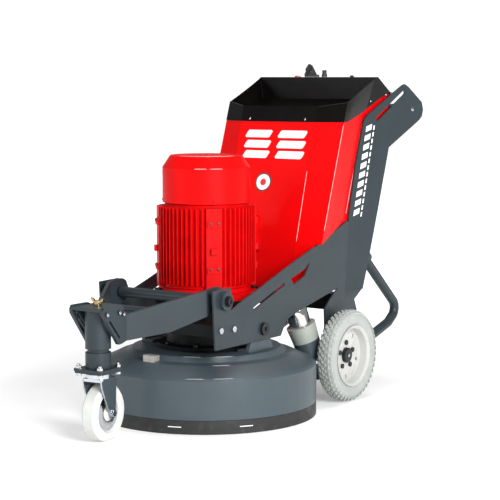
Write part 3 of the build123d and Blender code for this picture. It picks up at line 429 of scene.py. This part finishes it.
def column_marks(kind, side, tag, count, pitch, back, outline):
    """A row of slanted marks up a column, drifting to the rear as it rises."""
    for i in range(count):
        up = MARKS_FROM + i * pitch
        start = back + (up - MARKS_FROM) * MARKS_DRIFT
        points = [column_point(start + rearward, up + upward, side) for rearward, upward in outline]
        marking(f"column_{kind}_{tag}_{i + 1}", points, mirrored(column_normal, side))


for side, tag in SIDES:
    column_marks("block", side, tag, 10, 33.5, 22, [(0, 0), (31, 12), (33, 32), (2, 20)])
    column_marks("dash", side, tag, 14, 24, 61, [(0, 0), (7, 2), (9, 18), (2, 16)])

# short pale dashes round the skirt, with none at its widest points, where they would pass the CAD box
DASH_R = 370.2
DASH_ANGLE, DASH_STEPS = 0.12, 8
for i in (0, 1, 3, 4, 5, 6, 8, 9):
    middle = math.radians(-70.1 + i * 36)
    angles = [middle + (k / DASH_STEPS - 0.5) * DASH_ANGLE for k in range(DASH_STEPS + 1)]
    bm = bmesh.new()
    low, high = ([bm.verts.new(rel(DASH_R * math.cos(a), DASH_R * math.sin(a), z)) for a in angles]
                 for z in (22.0, 24.8))
    for k in range(DASH_STEPS):
        bm.faces.new((low[k], low[k + 1], high[k + 1], high[k]))
    link(bm, f"skirt_dash_{i + 1}", "white", "head", GRAPHIC_CREASE)

# ------------------------------------------------------------------ small hardware
# (radius, height) outlines in mm
SCREW_DOME = [(4.2, 0.1), (4.2, 0.8), (3.6, 1.7), (2.2, 2.3), (0.9, 2.4)]
PAD_BOLT = [(5.2, 0.05), (5.2, 1.6), (4.4, 2.2), (1, 2.3)]
FAN_COWL_SCREW = [(4, 0.05), (4, 1.4), (3.2, 2.2), (1, 2.5)]
YOKE_BOLT_END = [(6.6, 0.05), (6.6, 1.2), (5, 2.2), (1.5, 2.8)]
PUSH_BAR_SCREW = [(8, 0.05), (8, 1.2), (6, 2.4), (2, 2.8)]
CASTER_HUB = [(56.5, 0.1), (56.5, 0.9), (48, 1.1), (46, 2.4), (27, 2.4), (26, 1.2), (8.5, 1.2)]
HUB_CENTRE = [(7, 0.05), (7, 1.6), (5.6, 2.6), (1, 2.8)]


def turned(name, outline, origin, axis, mat, body, steps=24):
    """Small lathed piece: an outline in mm about an axis through an origin in metres."""
    axis = Vector(axis).normalized()
    across = axis.orthogonal().normalized()
    beside = axis.cross(across)
    bm = bmesh.new()
    rings = []
    for radius, height in outline:
        ring = []
        for i in range(steps):
            angle = 2 * math.pi * i / steps
            spoke = across * math.cos(angle) + beside * math.sin(angle)
            ring.append(bm.verts.new(origin + axis * (height / 1000) + spoke * (radius / 1000)))
        rings.append(ring)
    for lower, upper in zip(rings, rings[1:]):
        bridge(bm, lower, upper)
    bm.faces.new(rings[-1])
    bm.faces.new(list(reversed(rings[0])))
    bmesh.ops.recalc_face_normals(bm, faces=bm.faces)
    link(bm, name, mat, body, 40)


COWL_SCREW_Z = 977
for i, x in enumerate((-118, 116), 1):
    place = hood_point(x, COWL_SCREW_Z) + hood_normal * 0.001
    turned(f"cowl_screw_front_{i}", SCREW_DOME, place, hood_normal, "zinc", "chassis")
for side, tag in SIDES:
    for i, place in enumerate(((241.4, 668, 1040), (252.4, 757, 1062)), 1):
        turned(f"cowl_screw_{tag}_{i}", SCREW_DOME, mirrored(rel(*place), side), (side * 0.995, -0.098, 0),
               "zinc", "chassis")

# bolts on the motor's four side pads and round its fan cowl
PAD_R, FAN_COWL_R = 0.169, 0.146  # metres
PAD_BOLT_HEIGHTS = (502, 652)
PAD_BOLT_OFFSETS = (-0.013, 0.013)
FAN_COWL_SCREW_Z = 722
for k in range(4):
    angle = math.radians(45 + 90 * k)
    out = Vector((math.cos(angle), math.sin(angle), 0))
    sideways = UP.cross(out)
    for i, z in enumerate(PAD_BOLT_HEIGHTS, 1):
        for j, offset in enumerate(PAD_BOLT_OFFSETS, 1):
            turned(f"pad_bolt_{k + 1}_{i}_{j}", PAD_BOLT, rel(0, 0, z) + out * PAD_R + sideways * offset, out,
                   "dark_red", "head")
    turned(f"fan_cowl_screw_{k + 1}", FAN_COWL_SCREW, rel(0, 0, FAN_COWL_SCREW_Z) + out * FAN_COWL_R, out,
           "red", "head")

# bolt ends on the yoke's cheeks
CHEEK_X = 74.1
for side, tag in SIDES:
    for i, (y, z) in enumerate(((-609, 408), (-549, 408), (-530, 402)), 1):
        turned(f"yoke_bolt_end_{tag}_{i}", YOKE_BOLT_END, rel(side * CHEEK_X, y, z), (side, 0, 0),
               "zinc", "support")

# screws in the ends of the push bar
for side, tag in SIDES:
    turned(f"push_bar_screw_{tag}", PUSH_BAR_SCREW, column_point(324, 669, side),
           mirrored(column_normal, side), "zinc", "chassis")

# painted highlights: thin pale beads along the round edges of the cover and the fan cowl
HIGHLIGHT_STEPS, HIGHLIGHT_SIDES = 40, 6
HIGHLIGHT_R = 0.0010  # metres


def edge_arc(name, r, z, start, end, mat, slot):
    """Thin tapered arc of painted highlight along a round edge about the head axis, angles in degrees."""
    bm = bmesh.new()
    rings = []
    for i in range(HIGHLIGHT_STEPS + 1):
        angle = math.radians(start + (end - start) * i / HIGHLIGHT_STEPS)
        out = Vector((math.cos(angle), math.sin(angle), 0))
        thickness = HIGHLIGHT_R * min(1.0, 0.1 + i * 0.15, 0.1 + (HIGHLIGHT_STEPS - i) * 0.15)
        centre = rel(r * math.cos(angle), r * math.sin(angle), z)
        ring = []
        for k in range(HIGHLIGHT_SIDES):
            turn = 2 * math.pi * k / HIGHLIGHT_SIDES
            ring.append(bm.verts.new(centre + (out * math.cos(turn) + UP * math.sin(turn)) * thickness))
        rings.append(ring)
    for ring_a, ring_b in zip(rings, rings[1:]):
        bridge(bm, ring_a, ring_b)
    bm.faces.new(list(reversed(rings[0])))
    bm.faces.new(rings[-1])
    bmesh.ops.recalc_face_normals(bm, faces=bm.faces)
    link(bm, name, mat, "head", 60)


# radius, height, start and end of each arc
COVER_ARCS = ((362.0, 177.0, -65, -55), (362.0, 177.0, -51, -40), (295.6, 208.0, -51, -39),
              (249.8, 228.1, -72, -58), (249.8, 228.1, -50, -34))
FAN_COWL_ARCS = ((145.9, 828.0, -70, -53), (145.9, 828.0, -50, -32), (117.8, 867.6, -112, 5))
for i, arc in enumerate(COVER_ARCS, 1):
    edge_arc(f"cover_edge_highlight_{i}", *arc, "slate_edge_highlight", "slate_paint")
for i, arc in enumerate(FAN_COWL_ARCS, 1):
    edge_arc(f"fan_cowl_edge_highlight_{i}", *arc, "red_edge_highlight", "red_paint")

# painted sleeve on the support shaft, between the arms, in the darker slate copy that carries painted shade
turned("support_shaft_paint", [(17.2, 0), (17.2, 372)], rel(-186, -223, 419), (1, 0, 0), "slate_shaded",
       "chassis", 40)

# painted highlights (thin pale pink beads) along the cabinet's folds: foot of the fold, its lean per mm of
# height, and its two ends
FOLD_EDGES = {
    "front": ((155, 303), (0.0, 0.28), (560, 800)),
    "corner": ((250, 316), (0.0, 0.345), (600, 962)),
    "rear": ((220, 493), (0.02, 0.31), (645, 962)),
}
for side, tag in SIDES:
    for label, ((x, y), (dx, dy), heights) in FOLD_EDGES.items():
        low, high = (rel(side * (x + dx * (z - HOOD_FOOT_Z)), y + dy * (z - HOOD_FOOT_Z), z) for z in heights)
        length = (high - low).length * 1000
        turned(f"fold_edge_{label}_{tag}", [(0.4, 0), (0.9, 8), (0.9, length - 8), (0.4, length)], low,
               high - low, "red_edge_highlight", "chassis", 10)

# pressed metal discs on both faces of the caster wheel, which stands turned about its post
CASTER_POST_Y, CASTER_AXLE_Z = -569, 90
CASTER_TRAIL = 25
CASTER_TURN = math.radians(6.6)
CASTER_HALF_WIDTH = 0.0172  # metres
caster_centre = rel(-CASTER_TRAIL * math.sin(CASTER_TURN),
                    CASTER_POST_Y + CASTER_TRAIL * math.cos(CASTER_TURN), CASTER_AXLE_Z)
for side, tag in SIDES:
    out = Vector((side * math.cos(CASTER_TURN), side * math.sin(CASTER_TURN), 0))
    turned(f"caster_hub_{tag}", CASTER_HUB, caster_centre + out * CASTER_HALF_WIDTH, out, "zinc", "caster",
           64)

# centres of the rear wheels' hub caps
HUB_CAP_X = 299
for side, tag in SIDES:
    turned(f"hub_centre_{tag}", HUB_CENTRE, rel(side * HUB_CAP_X, WHEEL_Y, WHEEL_Z), (side, 0, 0), "zinc",
           f"wheel_{tag}")


# ------------------------------------------------------------------ stage, light and camera
def stage_piece(name, bm, material):
    """A piece of the studio, which isn't part of the machine."""
    mesh = bpy.data.meshes.new(name)
    bm.to_mesh(mesh)
    bm.free()
    obj = bpy.data.objects.new(name, mesh)
    bpy.context.scene.collection.objects.link(obj)
    obj.data.materials.append(material)
    return obj


# pale floor that brightens away from the machine, so that it meets the surround without a line
floor_mat, tree, bsdf = new_material("studio_floor")
tint = ramp(tree, noise(tree, 2.0).outputs["Fac"], [(0.2, grey(0.84)), (0.8, grey(0.88))])
tree.links.new(tint.outputs["Color"], bsdf.inputs["Base Color"])
bsdf.inputs["Roughness"].default_value = 0.7
bsdf.inputs["Specular IOR Level"].default_value = 0.2
coord = tree.nodes.new("ShaderNodeTexCoord")
distance = tree.nodes.new("ShaderNodeVectorMath")
distance.operation = "LENGTH"
tree.links.new(coord.outputs["Object"], distance.inputs[0])
rise = tree.nodes.new("ShaderNodeMapRange")
rise.inputs["From Min"].default_value = 0.9
rise.inputs["From Max"].default_value = 3.2
rise.inputs["To Min"].default_value = 0.22
rise.inputs["To Max"].default_value = 1.0
tree.links.new(distance.outputs["Value"], rise.inputs["Value"])
bsdf.inputs["Emission Color"].default_value = (1, 1, 1, 1)
tree.links.new(rise.outputs["Result"], bsdf.inputs["Emission Strength"])
bm = bmesh.new()
bmesh.ops.create_grid(bm, x_segments=8, y_segments=8, size=14)
floor = stage_piece("studio_floor", bm, floor_mat)
floor.location.z = -0.0005

# white surround, seen by the camera but lighting nothing
SURROUND_R, SURROUND_STEPS = 13.5, 64
SURROUND_FOOT, SURROUND_TOP = -0.4, 9.0
surround_mat, _, bsdf = new_material("studio_surround")
bsdf.inputs["Base Color"].default_value = (0, 0, 0, 1)
bsdf.inputs["Emission Color"].default_value = (1, 1, 1, 1)
bsdf.inputs["Emission Strength"].default_value = 1.05
bm = bmesh.new()
angles = [2 * math.pi * i / SURROUND_STEPS for i in range(SURROUND_STEPS)]
low, high = ([bm.verts.new((SURROUND_R * math.cos(a), SURROUND_R * math.sin(a), z)) for a in angles]
             for z in (SURROUND_FOOT, SURROUND_TOP))
bridge(bm, low, high)
bm.faces.new(high)
surround = stage_piece("studio_surround", bm, surround_mat)
surround.visible_diffuse = False
surround.visible_glossy = False
surround.visible_transmission = False
surround.visible_shadow = False

world = bpy.data.worlds.new("studio")
bpy.context.scene.world = world
world.use_nodes = True
world.node_tree.nodes["Background"].inputs["Color"].default_value = (1, 1, 1, 1)
world.node_tree.nodes["Background"].inputs["Strength"].default_value = 0.34


def area(name, place, target, size, power):
    """Soft light from a panel of (width, height) metres, aimed at a target."""
    data = bpy.data.lights.new(name, "AREA")
    data.energy = power
    data.shape = "RECTANGLE"
    data.size, data.size_y = size
    obj = bpy.data.objects.new(name, data)
    bpy.context.scene.collection.objects.link(obj)
    obj.location = place
    obj.rotation_euler = (Vector(target) - Vector(place)).to_track_quat("-Z", "Y").to_euler()


area("key_right", (4.6, -2.6, 2.4), (0, 0, 0.5), (2.2, 2.0), 360)
area("front_left", (-2.4, -4.4, 2.0), (0, 0, 0.6), (1.6, 1.6), 40)
area("overhead", (0.0, 0.6, 4.2), (0, 0, 0.4), (2.4, 2.4), 85)

CAMERA_DIP = math.radians(6.04)
CAMERA_TURN = math.radians(34.47)
camera = bpy.data.cameras.new("camera")
camera.lens = 118.52
camera.sensor_width = 36.0
camera_obj = bpy.data.objects.new("camera", camera)
bpy.context.scene.collection.objects.link(camera_obj)
camera_obj.location = (3.2247, -4.4389 + HEAD_Y, 1.1293)
camera_obj.rotation_euler = Euler((math.radians(90) - CAMERA_DIP, 0, CAMERA_TURN))
bpy.context.scene.camera = camera_obj
bpy.context.scene.view_settings.view_transform = "Standard"
